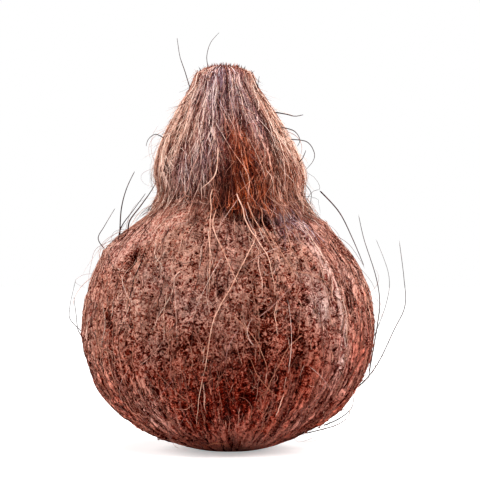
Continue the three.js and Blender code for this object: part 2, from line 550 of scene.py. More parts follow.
def makeLamps():
    # Three round soft lamps, at the left, at the right and above
    for name, place, size, power in studio["lamps"]:
        light = bpy.data.lights.new(name, "AREA")
        light.shape = "DISK"
        light.size = size
        light.energy = power
        lamp = addObject(name, light)
        lamp.location = place
        aimAt(lamp, studio["lampTarget"])


def makeFloor():
    # A round sheet of white paper on the floor. Camera rays see it lifted towards white, more so far from
    # the nut, and the nut's shadow stays.
    material = newMaterial("white_paper")
    place = addNode(material, "TexCoord", {}), "Object"
    seen = addNode(material, "LightPath", {}), "Is Camera Ray"
    paper = addNode(material, "BsdfDiffuse", {"Color": linear("#f2f1f0")})
    away = addNode(material, "VectorMath", {"operation": "LENGTH"}, {0: place}), "Value"
    reach = {"From Min": 0.07, "From Max": 0.6, "To Min": studio["nearGlow"], "To Max": studio["farGlow"]}
    lifted = addNode(material, "MapRange", reach, {"Value": away})
    strength = addNode(material, "Math", {"operation": "MULTIPLY"}, {0: seen, 1: lifted})
    glow = addNode(material, "Emission", {"Color": linear("#ffffff")}, {"Strength": strength})
    both = addNode(material, "AddShader", {}, {0: paper, 1: glow})
    addNode(material, "OutputMaterial", {}, {"Surface": both})
    mesh = bpy.data.meshes.new("floor")
    turn = np.linspace(0, 2 * np.pi, 96, endpoint=False)
    mesh.from_pydata(onCylinder(turn, 0, studio["floorRadius"]).tolist(), [], [list(range(len(turn)))])
    mesh.materials.append(material)
    addObject("floor", mesh)


def makeWorld():
    # Even white light from all round, and pure white where the camera sees past the paper
    world = bpy.data.worlds.new("studio")
    bpy.context.scene.world = world
    world.use_nodes = True
    world.node_tree.nodes.clear()
    seen = addNode(world, "LightPath", {}), "Is Camera Ray"
    even = addNode(world, "Background", {"Color": linear("#ffffff"), "Strength": studio["world"]})
    white = addNode(world, "Background", {"Color": linear("#ffffff"), "Strength": 1.0})
    mixed = addNode(world, "MixShader", {}, {0: seen, 1: even, 2: white})
    addNode(world, "OutputWorld", {}, {"Surface": mixed})


bpy.context.scene.view_settings.view_transform = "Standard"
makeCamera()
makeLamps()
makeFloor()
makeWorld()
print("studio ready")

husk = {
    "columns": 480, "rows": 202,
    "topHeight": 112.0,  # the husk ends inside the tuft
    "sunk": 0.8,  # mm: how far the middle of the coat lies under the solid's skin
    # what the pith tears into, as its size and height or depth in mm
    "clump": 4.4, "clumpDepth": 2.1,
    "crumb": 1.9, "crumbDepth": 1.0,
    "groove": 3.4, "grooveDepth": 2.1, "stretch": 6.0,  # grooves run down the nut, stretched so many times
    "grain": 1.3, "grainDepth": 0.3,
    "fold": 7.0, "foldDepth": 0.8, "foldStretch": 14,  # folds run down the lower half
    "cleft": 9.0, "cleftDepth": 1.2, "cleftStretch": 2.4,
    # holes where the coir is torn deeper: side offset and height from the front, half width, half height and
    # depth
    "pits": [
        (-39.0, 80.5, 2.0, 4.6, 4.2), (-48.8, 56, 1.4, 3.4, 2.4), (-55, 38, 1.8, 3.0, 2.2),
        (-50.5, 31, 1.3, 4.2, 2.4), (-41.6, 17, 1.5, 5.0, 2.2), (14, 59, 1.8, 2.0, 2.6),
        (14.4, 43, 1.0, 3.6, 2.0), (27.6, 56, 2.6, 1.0, 1.2), (30.5, 33, 1.6, 4.5, 2.2),
        (7, 25, 2.2, 2.0, 2.4), (8.6, 37, 1.0, 4.0, 1.8), (-3, 68, 1.6, 1.6, 1.6),
    ],
}


def crumbliness(angle, height):
    # 1 where the pith is crumbly, 0 where ribs of bare fibre show: on both flanks, low down and in places
    wander = softNoise(onCylinder(angle, height, 40), 26, 3)
    flanks = 0.85 * bellAt(angle, -20, 0.45) + 0.5 * bellAt(angle, -168, 0.4) * fall(height, 60, 84)
    lowDown = 0.85 * fall(height, 10, 46) * (1 - 0.4 * bellAt(angle, front, 0.5))
    return 1 - np.clip(flanks + lowDown + 0.8 * np.maximum(wander - 0.15, 0), 0, 1)


def sheetEdge(angle, height):
    # Above 0 on the smooth sheet of matted coir that comes out of the neck on the left, up to its torn edge
    flat = onCylinder(angle, height, 40)
    aside = -around(angle, np.radians(-104))
    line = 101 - 29 * np.clip(aside, 0, 1.3) + 1.6 * softNoise(flat, 4, 5) + 2.0 * softNoise(flat, 14, 6)
    far = 1.45 + 0.28 * softNoise(flat, 12, 7) + 0.1 * softNoise(flat, 3.5, 8)  # where it ends at the back
    return np.minimum(height - line, 30 * np.minimum(aside + 0.02, far - aside))


def coat(angle, run):
    # Height of the torn coir over the outline, and for each point its crest, a lightness with painted light
    # and shade in it, and how rusty, how weathered, how bare of pith and how smooth it is
    radius, height = radiusOn(run), heightOn(run)
    place = onCylinder(angle, height, radius)
    bend = 1.4 * np.stack([softNoise(place, 4, seed) for seed in (11, 12, 13)], -1)

    def stretched(times):
        # Places drawn together along the nut, so that a noise read there comes out that many times as long
        return onCylinder(angle, run / times, nut["radius"])

    # Where things are: the smooth sheet, a smooth grey strap of fibre on the right, and crumbly pith
    crumbly = crumbliness(angle, height)
    sheet = rise(sheetEdge(angle, height), 0, 0.8)
    strap = np.radians(-38 - 8 * rise(height, 44, 92))
    band = bell(around(angle, strap), 0.045) * rise(height, 28, 40) * fall(height, 92, 99)
    beside = bell(around(angle, strap - 0.17), 0.11) * bell(height - 60, 24)
    smooth = np.clip(sheet + band, 0, 1)
    bare = (1 - crumbly) * (1 - smooth) + 0.2 * sheet + band
    flank, centre = bellAt(angle, -24, 0.45), bellAt(angle, -95, 0.5)
    middle = bellAt(angle, -80, 0.5) * bell(height - 44, 20)
    dusty = bellAt(angle, -114, 0.3) * bell(height - 65, 9)
    upperLeft = bellAt(angle, -122, 0.5) * rise(height, 46, 68)
    lowLeft = bellAt(angle, -160, 0.6)
    lowRight = bellAt(angle, -42, 0.4) * fall(height, 30, 52)

    # What is torn there
    rough = (0.25 + 0.75 * crumbly) * (1 - 0.85 * smooth) * (1 - 0.3 * rise(height, 66, 84))
    clumpDomes = domes(place + bend, husk["clump"], 21) - 0.72
    crumbDomes = domes(place + bend, husk["crumb"], 22) - 0.72
    long = stretched(husk["stretch"])
    ridges = softNoise(long, husk["groove"], 23) + 0.6 * softNoise(long, husk["groove"] / 2, 24)
    ridges = ridges * (1 - 0.85 * sheet)
    folds = softNoise(stretched(husk["foldStretch"]), husk["fold"], 26)
    folds = folds * fall(height, 44, 72) * rise(height, 3, 20)
    # Clefts: where one noise passes through 0 it draws thin lines down the nut, and another keeps parts
    drawn = softNoise(stretched(husk["cleftStretch"]) + bend, husk["cleft"], 27)
    clefts = bell(drawn, 0.13) * rise(softNoise(place, 8, 28), 0.02, 0.3) * (1 - smooth)
    holes = 0
    for across, up, halfWide, halfHigh, deep in husk["pits"]:
        away = around(angle, -np.arccos(across / radiusAt(up)))
        hole = np.exp(-(((away * radius / halfWide) ** 2 + ((height - up) / halfHigh) ** 2) ** 2))
        holes = holes + deep * hole * (np.abs(away) < 1)
    hem = hemAt(angle)
    under = bell(height - hem + 1, 3.5) * (1 - 0.8 * sheet)
    lift = (
        (husk["clumpDepth"] * clumpDomes + husk["crumbDepth"] * crumbDomes) * rough
        + husk["grooveDepth"] * ridges * (0.12 + 0.48 * (1 - crumbly) * (1 - 0.8 * smooth))
        + husk["foldDepth"] * folds - husk["cleftDepth"] * clefts
        + husk["grainDepth"] * softNoise(place, husk["grain"], 25)
        - husk["sunk"] + 0.1 * sheet + 0.8 * band
        - holes - 2.2 * under - 4 * rise(height, hem, hem + 3)  # the husk slips in under the tuft
    )

    # Crests are lighter and hollows darker, partly the pith's own colour and partly painted shade, and the
    # grooves between ribs, the clefts, the pits and the band just under the hem get painted shade. Painted
    # light makes the flanks, the two sides higher up, the top, the upper left and the foot lighter, the foot
    # as if lit by the white floor, and painted shade makes the lower middle darker. The strap, the dusty
    # patch and the low right are lighter, and low down it is a little darker.
    lively = rough * (1 - 0.5 * centre * fall(height, 26, 56))
    crest = (
        0.42 + (0.34 * crumbDomes + 0.28 * clumpDomes) * lively + (0.08 + 0.26 * bare) * ridges
        - 0.36 * rise(-ridges, 0.25, 0.55) * bare * (1 - smooth)  # the grooves between ribs
        + 0.01 * sheet + 0.02 * band + 0.14 * folds - 0.2 * clefts - 0.3 * holes - 0.5 * under
        + (0.36 * flank - 0.05) * (1 - 0.2 * rise(height, 30, 60)) + 0.28 * lowRight
        + (0.1 - 0.06 * beside) * bell(around(angle, strap), 0.2) * rise(height, 30, 50)
        + 0.13 * upperLeft * (1 - sheet) + 0.1 * np.cos(angle) ** 4 * rise(height, 52, 78)
        + 0.08 * rise(height, 66, 90) + 0.66 * fall(height, 4, 18) - 0.04 * fall(height, 24, 40)
        - 0.3 * centre * fall(height, 10, 56) - 0.08 * middle + 0.14 * dusty
        + 0.03 * lowLeft * fall(height, 30, 50)
    )
    ageing = (
        0.5 * band + 0.6 * beside * rise(softNoise(place, 9, 33), -0.3, 0.3) * rise(height, 38, 62)
        + 0.2 * dusty + 0.15 * sheet + 0.35 * np.maximum(softNoise(place, 15, 31), 0) * (1 - 0.9 * middle)
    )
    ageing = np.clip(ageing, 0, 1)
    lowDown = (0.78 - 0.25 * lowLeft) * fall(height, 8, 66)
    rust = np.clip(0.1 + 0.38 * flank + lowDown + 0.3 * middle + 0.22 * softNoise(place, 21, 32), 0, 0.85)
    calm = 0.3 * band + 0.32 * sheet + 0.35 * centre * fall(height, 26, 56)
    return lift * rise(height, 0.2, 5), np.clip(crest, 0, 1), 0.88 * rust * (1 - ageing), ageing, bare, calm


foot = nut["footRadius"]
upNut = np.linspace(foot, runAt(husk["topHeight"]), husk["rows"] - 2)[1:]
huskRows = np.concatenate([[0.35 * foot, 0.7 * foot, foot], upNut])
gridAngle, gridRun = np.meshgrid(np.linspace(0, 2 * np.pi, husk["columns"], endpoint=False), huskRows)
coatLift, coatCrest, coatRust, coatAgeing, coatBare, coatSmooth = coat(gridAngle, gridRun)
alongFibres = onCylinder(gridAngle, gridRun / 3.5, nut["radius"]) * unit  # streaks 3.5 times as long as wide
huskSkin = closedSkin(
    "husk", placeOn(nutRelief, gridAngle, gridRun, coatLift, least=0), (0, 0, 0), (0, 0, husk["topHeight"]),
    {"crest": coatCrest, "rust": coatRust, "ageing": coatAgeing, "bare": coatBare, "smooth": coatSmooth,
     "along": alongFibres},
    pith,
)
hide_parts("coconut")


def sampleCoat(field, angle, run):
    # Reads a field of the husk's grid between its points, blended across the row and along the column
    column = (angle % (2 * np.pi)) / (2 * np.pi) * husk["columns"]
    row = np.interp(run, huskRows, np.arange(len(huskRows)))
    c0, r0 = np.floor(column).astype(int), np.minimum(row.astype(int), len(huskRows) - 2)
    cf, rf = column - c0, row - r0
    c0, c1 = c0 % husk["columns"], (c0 + 1) % husk["columns"]
    near = field[r0, c0] * (1 - cf) + field[r0, c1] * cf
    far = field[r0 + 1, c0] * (1 - cf) + field[r0 + 1, c1] * cf
    return near * (1 - rf) + far * rf


def evened(lift, part):
    # Mixes each strand's lift with its mean, because a stiff strand bridges the hollows under it
    return (1 - part) * lift + part * np.mean(lift, axis=1, keepdims=True)


def varied(random, size, spread, count):
    # Sizes that differ by the factor e^(spread n), with n from the normal bell
    return size * np.exp(spread * random.standard_normal((count, 1)))


def anyAngle(random, count):
    # A column of angles, all equally likely
    return random.random((count, 1)) * 2 * np.pi


def keepLikely(random, likely, most):
    # The tries that are kept, each with its own likelihood, up to the number wanted
    return np.flatnonzero(random.random(len(likely)) < likely.ravel())[:most]


crumbs = {
    "count": 1200,
    "radius": 0.36, "spread": 0.38, "largest": 1.0,  # mm: usual radius, how much it varies, and its limit
    "sunk": 0.2,  # of the radius
    "jitter": 0.33,  # how uneven each crumb is
}


def crumbShape():
    # A ball of twelve points: a pole, a ring of five, a ring of five turned by half a step, and a pole
    turn = np.arange(5) * 2 * np.pi / 5
    flat, tall = 2 / np.sqrt(5), 1 / np.sqrt(5)
    poles = np.array([[(0, 0, 1)], [(0, 0, -1)]])
    upper, lower = onCylinder(turn, tall, flat), onCylinder(turn + np.pi / 5, -tall, flat)
    points = np.concatenate([poles[0], upper, lower, poles[1]])
    i, j = np.arange(5), (np.arange(5) + 1) % 5
    top = np.stack([np.zeros(5, int), 1 + i, 1 + j], 1)
    belt = np.concatenate([np.stack([1 + i, 6 + i, 1 + j], 1), np.stack([1 + j, 6 + i, 6 + j], 1)])
    base = np.stack([np.full(5, 11), 6 + j, 6 + i], 1)
    # The map unrolls the ball about its top: the rings at half and full radius, and its base in a corner
    pole = np.zeros((1, 2))
    ring, wide = upper[:, :2] / flat, lower[:, :2] / flat
    disc = np.concatenate([pole, 0.45 * ring, wide, pole]) * 0.44 + 0.45
    corner = np.concatenate([pole, ring, wide, pole]) * 0.07 + 0.92
    return points, np.concatenate([top, belt, base]), np.concatenate([disc[top], disc[belt], corner[base]])


def scatterCrumbs():
    # Crumbs lie where the pith is crumbly: many random places are tried, and each is kept with a likelihood
    random = np.random.default_rng(41)
    tries = crumbs["count"] * 4
    angle = random.random(tries) * 2 * np.pi
    height = 5 + random.random(tries) * 97  # zones of equal height on a ball have equal area
    likely = crumbliness(angle, height) * fall(sheetEdge(angle, height), -1, 1) * 0.9 + 0.1
    likely = likely * (0.4 + 0.6 * rise(softNoise(onCylinder(angle, height, 50), 6, 42), -0.5, 0.3))
    kept = keepLikely(random, likely, crumbs["count"])
    angle, run, count = angle[kept], runAt(height[kept]), len(kept)
    size = np.minimum(varied(random, crumbs["radius"], crumbs["spread"], count)[:, 0], crumbs["largest"])
    lift = sampleCoat(coatLift, angle, run) + size * (0.6 * random.random(count) - crumbs["sunk"])
    middle = placeOn(nutRelief, angle, run, lift)
    step = 0.4  # mm to the points that show which way is up and which way is along the nut
    up = unitLength(placeOn(nutRelief, angle, run, lift + step) - middle)
    across = unitLength(np.cross(placeOn(nutRelief, angle, run + step, lift) - middle, up))
    along = np.cross(up, across)
    turn = random.normal(0, 0.7, count)[:, None]
    long = np.cos(turn) * along + np.sin(turn) * across
    wide = np.cross(up, long)
    points, faces, spots = crumbShape()
    jitter = np.clip(1 + crumbs["jitter"] * random.standard_normal((count, len(points), 1)), 0.4, 1.7)
    lengths = [least + more * random.random(count) for least, more in ((1.0, 1.1), (0.65, 0.5), (0.6, 0.5))]
    shaped = points[None] * jitter * (size[:, None] * np.stack(lengths, -1))[:, None]
    placed = middle[:, None] + sum(
        shaped[..., axis:axis + 1] * side[:, None] for axis, side in enumerate((long, wide, up))
    )
    placed[..., 2] = np.maximum(placed[..., 2], 0.05)
    # Each crumb takes the coat's lightness with its painted light and shade, and is painted lighter on its
    # top and darker underneath, as painted light and shade
    crest = 0.5 * sampleCoat(coatCrest, angle, run) + 0.2 + 0.12 * random.standard_normal(count)
    values = {"crest": np.clip(crest[:, None] + 0.16 * points[None, :, 2], 0, 1)}
    for key, field in (("rust", coatRust), ("ageing", coatAgeing)):
        values[key] = np.repeat(sampleCoat(field, angle, run)[:, None], len(points), axis=1)
    manyShapes("pith_crumbs", placed, faces, spots, values, pith)


scatterCrumbs()

huskFibres = {
    "count": 1900, "steps": 9, "shortest": 6.0, "longest": 34.0, "width": 0.15,  # mm, and half widths
    "ribs": 620, "ribSteps": 12, "ribWidth": 0.42,
    # name, count, least and greatest bow in mm, half width, how deep the ends sink, material and seed
    "shavings": ("pith_shavings", 5600, (0.4, 1.2), 0.21, 0.05, pith, 54),
    "curls": ("husk_curls", 4300, (0.6, 2.4), 0.1, -0.15, fibre, 55),
    "curlSteps": 6,
}


def layHuskFibres():
    # Each fibre starts somewhere on the nut and runs down its meridian, swaying aside like a slow wave and
    # lying a little over the coat
    random = np.random.default_rng(51)
    count, steps = huskFibres["count"], huskFibres["steps"]
    angle = anyAngle(random, count)
    height = 5 + random.random((count, 1)) * 95
    spread = huskFibres["longest"] - huskFibres["shortest"]
    length = huskFibres["shortest"] + spread * random.random((count, 1)) ** 2
    wild = random.random((count, 1)) ** 3  # most fibres run straight down, and a few lie any way
    t = np.linspace(-0.5, 0.5, steps)[None]
    heading = (
        wild * random.normal(0, 1.1, (count, 1))
        + random.normal(0, 0.25 + 0.6 * wild) * t * 2
        + 0.35 * np.sin(t * 9 + random.random((count, 1)) * 6) * (0.4 + wild)
    )
    run = runAt(height) + np.cumsum(np.cos(heading), 1) * length / steps
    run = np.clip(run, nut["footRadius"] + 2, runAt(103))
    angle = angle + np.cumsum(np.sin(heading), 1) * length / steps / radiusOn(run)
    rest = sampleCoat(coatLift, angle, run)
    lift = np.maximum(rest, evened(rest, 0.5)) + 0.15 + 0.45 * random.random((count, 1))
    lift = lift + np.abs(2 * t) ** 3 * random.random((count, 1)) * 0.7
    widths = varied(random, huskFibres["width"], 0.3, count) * (1 - 0.6 * np.abs(2 * t) ** 2)
    tone = np.clip(0.40 + 0.19 * random.standard_normal(count), 0.05, 0.98)
    rust = 0.7 * sampleCoat(coatRust, angle.mean(1), run.mean(1))
    strandBundle(
        "husk_fibres", placeOn(nutRelief, angle, run, lift, 0.4), widths, tone, rust,
        0.15 * random.random(count), fibre, 52,
    )


def layRibs():
    # Bundles of matted fibre that stand out as ribs where the pith is scraped off, half sunk in what is left
    random = np.random.default_rng(57)
    tries = huskFibres["ribs"] * 6
    angle = anyAngle(random, tries)
    height = 4 + random.random((tries, 1)) * 84
    kept = keepLikely(random, (1 - crumbliness(angle, height)) ** 1.5, huskFibres["ribs"])
    angle, height, count = angle[kept], height[kept], len(kept)
    length = random.uniform(9, 34, (count, 1))
    t = np.linspace(-0.5, 0.5, huskFibres["ribSteps"])[None]
    run = np.clip(runAt(height) + length * t, nut["footRadius"] + 1, runAt(98))
    aside = random.normal(0, 0.05, (count, 1)) * length * t
    aside = aside + 0.5 * np.sin(random.uniform(5, 9) * t + 6 * random.random((count, 1)))
    angle = angle + aside / radiusOn(run)
    lift = evened(sampleCoat(coatLift, angle, run), 0.65) + random.uniform(-0.1, 0.45, (count, 1))
    paths = placeOn(nutRelief, angle, run, lift - 1.5 * np.abs(2 * t) ** 6, 0.5)
    widths = varied(random, huskFibres["ribWidth"], 0.25, count) * (1 - 0.5 * np.abs(2 * t) ** 3)
    bright = np.clip(0.46 + 0.16 * random.standard_normal(count), 0.05, 0.95)
    rust = sampleCoat(coatRust, angle.mean(1), run.mean(1))
    strandBundle("husk_ribs", paths, widths, bright, rust, 0.2 * random.random(count), pith, 58)


def curled(angle, height, bow, squash, turned, tilt):
    # Part of a flattened ring on the skin: x = b cos a and y = b s sin a, turned by its tilt
    x, y = bow * np.cos(turned), bow * squash * np.sin(turned)
    run = runAt(height) + x * np.sin(tilt) - y * np.cos(tilt)
    return angle + (x * np.cos(tilt) + y * np.sin(tilt)) / radiusOn(run), run


def layCurls(likely, name, count, bows, width, sunk, material, seed):
    # Short torn ends that curl among the crumbs: each is a part of a flattened ring, raised in its middle.
    # Where the ribs are bare they lie along the ribs and curl less.
    random = np.random.default_rng(seed)
    angle = anyAngle(random, count * 3)
    height = 5 + random.random((count * 3, 1)) * 96
    kept = keepLikely(random, likely(angle, height), count)
    angle, height, count = angle[kept], height[kept], len(kept)
    ribbed = 1 - crumbliness(angle, height)
    t = np.linspace(0, 1, huskFibres["curlSteps"])[None]
    bow = bows[0] + (bows[1] - bows[0]) * random.random((count, 1)) ** 1.5 + 1.2 * ribbed
    turning = random.uniform(0.8, 3.2, (count, 1)) * (1 - 0.65 * ribbed)
    start = anyAngle(random, count) * (1 - ribbed) + ribbed * (np.pi / 2 - turning / 2)
    squash = random.uniform(0.4, 0.9, (count, 1))
    tilt = anyAngle(random, count) * (1 - ribbed)
    tilt = tilt + ribbed * random.normal(np.pi / 2, 0.2, (count, 1))
    angle, run = curled(angle, height, bow, squash, start + t * turning, tilt)
    raised = (sunk + 0.7) * random.random((count, 1)) * np.sin(np.pi * t) - sunk
    paths = placeOn(nutRelief, angle, run, evened(sampleCoat(coatLift, angle, run), 0.5) + raised, 0.4)
    widths = varied(random, width, 0.3, count) * (1 - 0.4 * np.abs(2 * t - 1) ** 2)
    middle = angle.mean(1), run.mean(1)
    # Each curl takes the lightness of the coat under it, painted light and shade included
    bright = 0.6 * sampleCoat(coatCrest, *middle) + 0.17 + 0.17 * random.standard_normal(count)
    rust = sampleCoat(coatRust, *middle)
    strandBundle(
        name, paths, widths, np.clip(bright, 0.03, 0.98), rust, 0.12 * random.random(count), material, seed
    )


layHuskFibres()
layRibs()
layCurls(
    lambda angle, height: 0.15 + 0.85 * fall(sheetEdge(angle, height), -1, 1), *huskFibres["shavings"]
)
layCurls(lambda angle, height: 0.35 + 0.65 * crumbliness(angle, height), *huskFibres["curls"])

tuft = {
    "columns": 240, "rows": 58,
    "sunk": 2.6,  # mm: how far the core lies under the solid's skin
    "steps": 12,
    "locks": 84, "strandsInLock": 22, "lockWidth": 0.155,  # half widths of the strands, in mm
    "looseStrands": 1300, "looseWidth": 0.115,
    "curls": 1300, "curlSteps": 9, "curlWidth": 0.1,
    "fuzz": 2200, "fuzzSteps": 7, "fuzzWidth": 0.075,
    "bristles": 640, "bristleSteps": 5, "bristleWidth": 0.17,
    "shoulderStrands": 800, "shoulderSteps": 10, "shoulderWidth": 0.16,
}
tuftEnd = sectionRun[-1] - 1.5  # how far along the section its core and its longest strands reach


def capRound(height):
    # How much deeper the strands lie at the corner of the cap, where trimming has rounded it
    return 1.5 * bell(height - 158, 1.7)


def makeTuftCore():
    # The mass under the strands, painted dark as the shade under them: it starts in the neck, turns out at
    # the hem and follows the outline
    angle, part = np.meshgrid(
        np.linspace(0, 2 * np.pi, tuft["columns"], endpoint=False), np.linspace(0, 1, tuft["rows"])
    )
    hemRun = runAt(hemAt(angle))
    run = hemRun + (tuftEnd - hemRun) * part
    grooves = softNoise(onCylinder(angle, run / 9, 40), 2.6, 61)
    lift = 0.7 * grooves - tuft["sunk"] * (1 - 0.4 * rise(part, 0.9, 1)) - capRound(heightOn(run))
    grid = placeOn(wholeRelief, angle, run, lift)
    tucked = grid[0] * np.array([0.72, 0.72, 1]) - np.array([0, 0, 0.6])
    grid = np.concatenate([tucked[None], grid])
    # Painted shade: the core is dark, lighter near the cap, and its row tucked into the neck is darker still
    tone = np.clip(0.1 + 0.1 * grooves + 0.2 * rise(part, 0.93, 0.98), 0.02, 1)
    tone = np.concatenate([tone[:1] * 0.5, tone])
    closedSkin(
        "tuft_core", grid, (0, 0, hemAt(0)), grid[-1].mean(0) + np.array([0, 0, 0.3]),
        {"tone": tone, "rust": 0 * tone + 0.55, "ageing": 0 * tone}, fibre,
    )


# Soft ovals of the tuft: weight, then angle and height of the middle, half angle and half height
tuftPatches = {
    # The hem oval: painted shade, reddened, at the front of the hem
    "hem": [(1, -80, 101, 34, 7)],
    "red": [(2.0, -77, 120, 17, 17), (0.6, -30, 112, 22, 8)],
    "grey": [
        (1, -92, 150, 46, 13), (0.6, -103, 125, 12, 12), (0.6, -54, 134, 12, 9), (0.6, -128, 115, 18, 10),
    ],
    "dark": [(1.9, -46, 128, 8, 17), (0.9, -97, 116, 12, 12), (0.5, -128, 114, 18, 9)],
    # Tan flanks, lighter at the left and right edges with painted rim light
    "tanAndRimLight": [(0.6, -150, 135, 36, 20), (1, -8, 128, 26, 24), (1.3, -180, 144, 28, 16), (0.8, 0, 128, 22, 20)],
    "redMiddle": [(1, -76, 116, 14, 15)],
    "redMat": [(1, -78, 119, 26, 18)],
    "greyShoulder": [(1, -45, 100, 16, 9)],
}


def patches(name, angle, height):
    # The sum of weight e^-(a / half angle)^2 e^-(z / half height)^2 over the ovals of that name
    return sum(
        weight * bellAt(angle, atAngle, np.radians(halfAngle)) * bell(height - atHeight, halfHeight)
        for weight, atAngle, atHeight, halfAngle, halfHeight in tuftPatches[name]
    )


def tuftColours(angle, height, random):
    # Red-brown mat at the front right, greys above it and at the left, tan flanks lighter at the left and
    # right edges with painted rim light, dark streak on the right, and painted shade at the front of the hem
    # and in streaks of dark gaps between the strands
    hem = patches("hem", angle, height)
    wander = onCylinder(angle, height / 3, 30)
    elsewhere = fall(np.cos(around(angle, np.radians(front))), -0.5, 0.1)
    tip = rise(height, 150, 156)
    red = patches("red", angle, height) + 0.9 * hem + 0.25 * tip
    red = red + elsewhere * np.maximum(softNoise(wander, 12, 71) - 0.3, 0)
    grey = patches("grey", angle, height) + elsewhere * np.maximum(softNoise(wander, 12, 72), 0)
    dark = patches("dark", angle, height) + 0.8 * hem
    streaks = softNoise(onCylinder(angle, height / 9, 24), 0.8, 79)
    # Painted shade: dark streaks where the gaps between the strands are
    gaps = rise(-softNoise(onCylinder(angle, height / 12, 30), 0.8, 78), 0.12, 0.5)
    spread = random.standard_normal((len(angle), 1))
    tone = (
        0.46 + 0.3 * spread + 0.28 * streaks - 0.5 * gaps + 0.2 * patches("tanAndRimLight", angle, height)
        - 0.26 * dark - 0.14 * tip - 0.2 * patches("redMiddle", angle, height)
    )
    strength = 0.4 + 0.6 * random.random((len(angle), 1))
    rust = 0.12 + 1.2 * red * np.clip(1.3 - 0.8 * tone, 0.3, 1) * strength
    grey = 1.7 * grey * random.random((len(angle), 1)) ** 0.9
    return np.clip(tone, 0.02, 0.98), np.clip(rust, 0, 1), np.clip(grey, 0, 1)


def layLocks():
    # Strands of one lock share its slant and its sway. Each keeps its place across the lock's oval section,
    # and the lock widens from the tip to the bulge and frays at its lower end. The deeper a strand lies, the
    # darker it is painted, as shade.
    random = np.random.default_rng(62)
    locks, each = tuft["locks"], tuft["strandsInLock"]
    count = locks * each
    lock = np.repeat(np.arange(locks), each)
    t = np.linspace(0, 1, tuft["steps"])[None]
    lockAngle = ((np.arange(locks) + 0.5 * random.random(locks)) * 2 * np.pi / locks)[lock][:, None]
    slant = random.normal(0, 0.12, locks)[lock][:, None]
    sway = random.normal(0, 0.05, locks)[lock][:, None]
    beat = (random.random(locks) * 6)[lock][:, None]
    layer = random.random(locks)[lock][:, None]
    half = varied(random, 0.05, 0.3, locks)[lock]
    shade = (0.12 * random.standard_normal(locks))[lock][:, None]
    across = random.normal(0, 0.6, (count, 1))
    raised = np.sqrt(np.maximum(0, 1 - (across / 2) ** 2)) * random.random((count, 1))
    topRun = tuftEnd - 9 * random.random((count, 1)) - 18 * random.random((count, 1)) ** 4
    endRun = runAt(hemAt(lockAngle) + np.clip(random.normal(-0.5, 3, (count, 1)), -8, 8))
    run = topRun + (endRun - topRun) * t
    height = heightOn(run)
    angle = (
        lockAngle
        + (slant + random.normal(0, 0.07, (count, 1))) * (t - 0.4)
        + sway * np.sin(4 * t + beat)
        + across * half * (0.55 + 0.6 * t)
        + 0.035 * np.sin(7 * t + random.random((count, 1)) * 6)
        + 0.022 * np.sin((12 + 8 * random.random((count, 1))) * t + random.random((count, 1)) * 6)
    )
    lift = 0.9 * layer * (0.4 + 0.6 * t) + raised * 1.1 + 0.2 * np.sin(9 * t + random.random((count, 1)) * 6)
    lift = lift * (1 - 0.4 * rise(height, 140, 158)) - 2.3 + 1.1 * rise(height, 148, 158) - capRound(height)
    under = fall(height - hemAt(angle), -5, -1)
    lift = np.where(under > 0, (1 - under) * lift + under * (sampleCoat(coatLift, angle, run) + 0.4), lift)
    widths = varied(random, tuft["lockWidth"], 0.3, count) * (1 - 0.65 * t**4)
    tone, rust, ageing = tuftColours(angle, height, random)
    # Painted shade: the deeper a strand lies in its lock, and the lower its lock's layer, the darker it is
    tone = np.clip(tone + shade + 0.8 * (raised - 0.44) + 0.14 * (layer - 0.5), 0.02, 1)
    strandBundle("tuft_locks", placeOn(wholeRelief, angle, run, lift), widths, tone, rust, ageing, fibre, 63)


def layLoose():
    # Single strands over the locks, which cross them at all slants and stand out a little
    random = np.random.default_rng(64)
    count = tuft["looseStrands"]
    t = np.linspace(0, 1, tuft["steps"])[None]
    start = anyAngle(random, count)
    topHeight = 157 - 36 * random.random((count, 1)) ** 1.2
    endHeight = np.maximum(topHeight - 12 - 42 * random.random((count, 1)), 95)
    run = runAt(topHeight) + (runAt(endHeight) - runAt(topHeight)) * t
    sway = np.minimum((topHeight - endHeight) / 36, 1) ** 2  # so that no short strand is kinked
    angle = start + random.normal(0, 0.3, (count, 1)) * t
    for usual, most, beats in ((0.16, 0.18, 5), (0.04, 0.06, 14)):
        swing = sway * np.clip(random.normal(0, usual, (count, 1)), -most, most)
        angle = angle + swing * np.sin(beats * t + random.random((count, 1)) * 6)
    lift = 0.9 * random.random((count, 1)) + random.random((count, 1)) ** 5 * 3 * t**2 - 0.95
    widths = varied(random, tuft["looseWidth"], 0.35, count) * (1 - 0.6 * t**3)
    tone, rust, ageing = tuftColours(angle, heightOn(run), random)
    strandBundle(
        "tuft_loose_strands", placeOn(wholeRelief, angle, run, lift), widths,
        np.clip(tone + 0.12, 0, 1), rust * 0.8, ageing * 0.8, fibre, 65,
    )


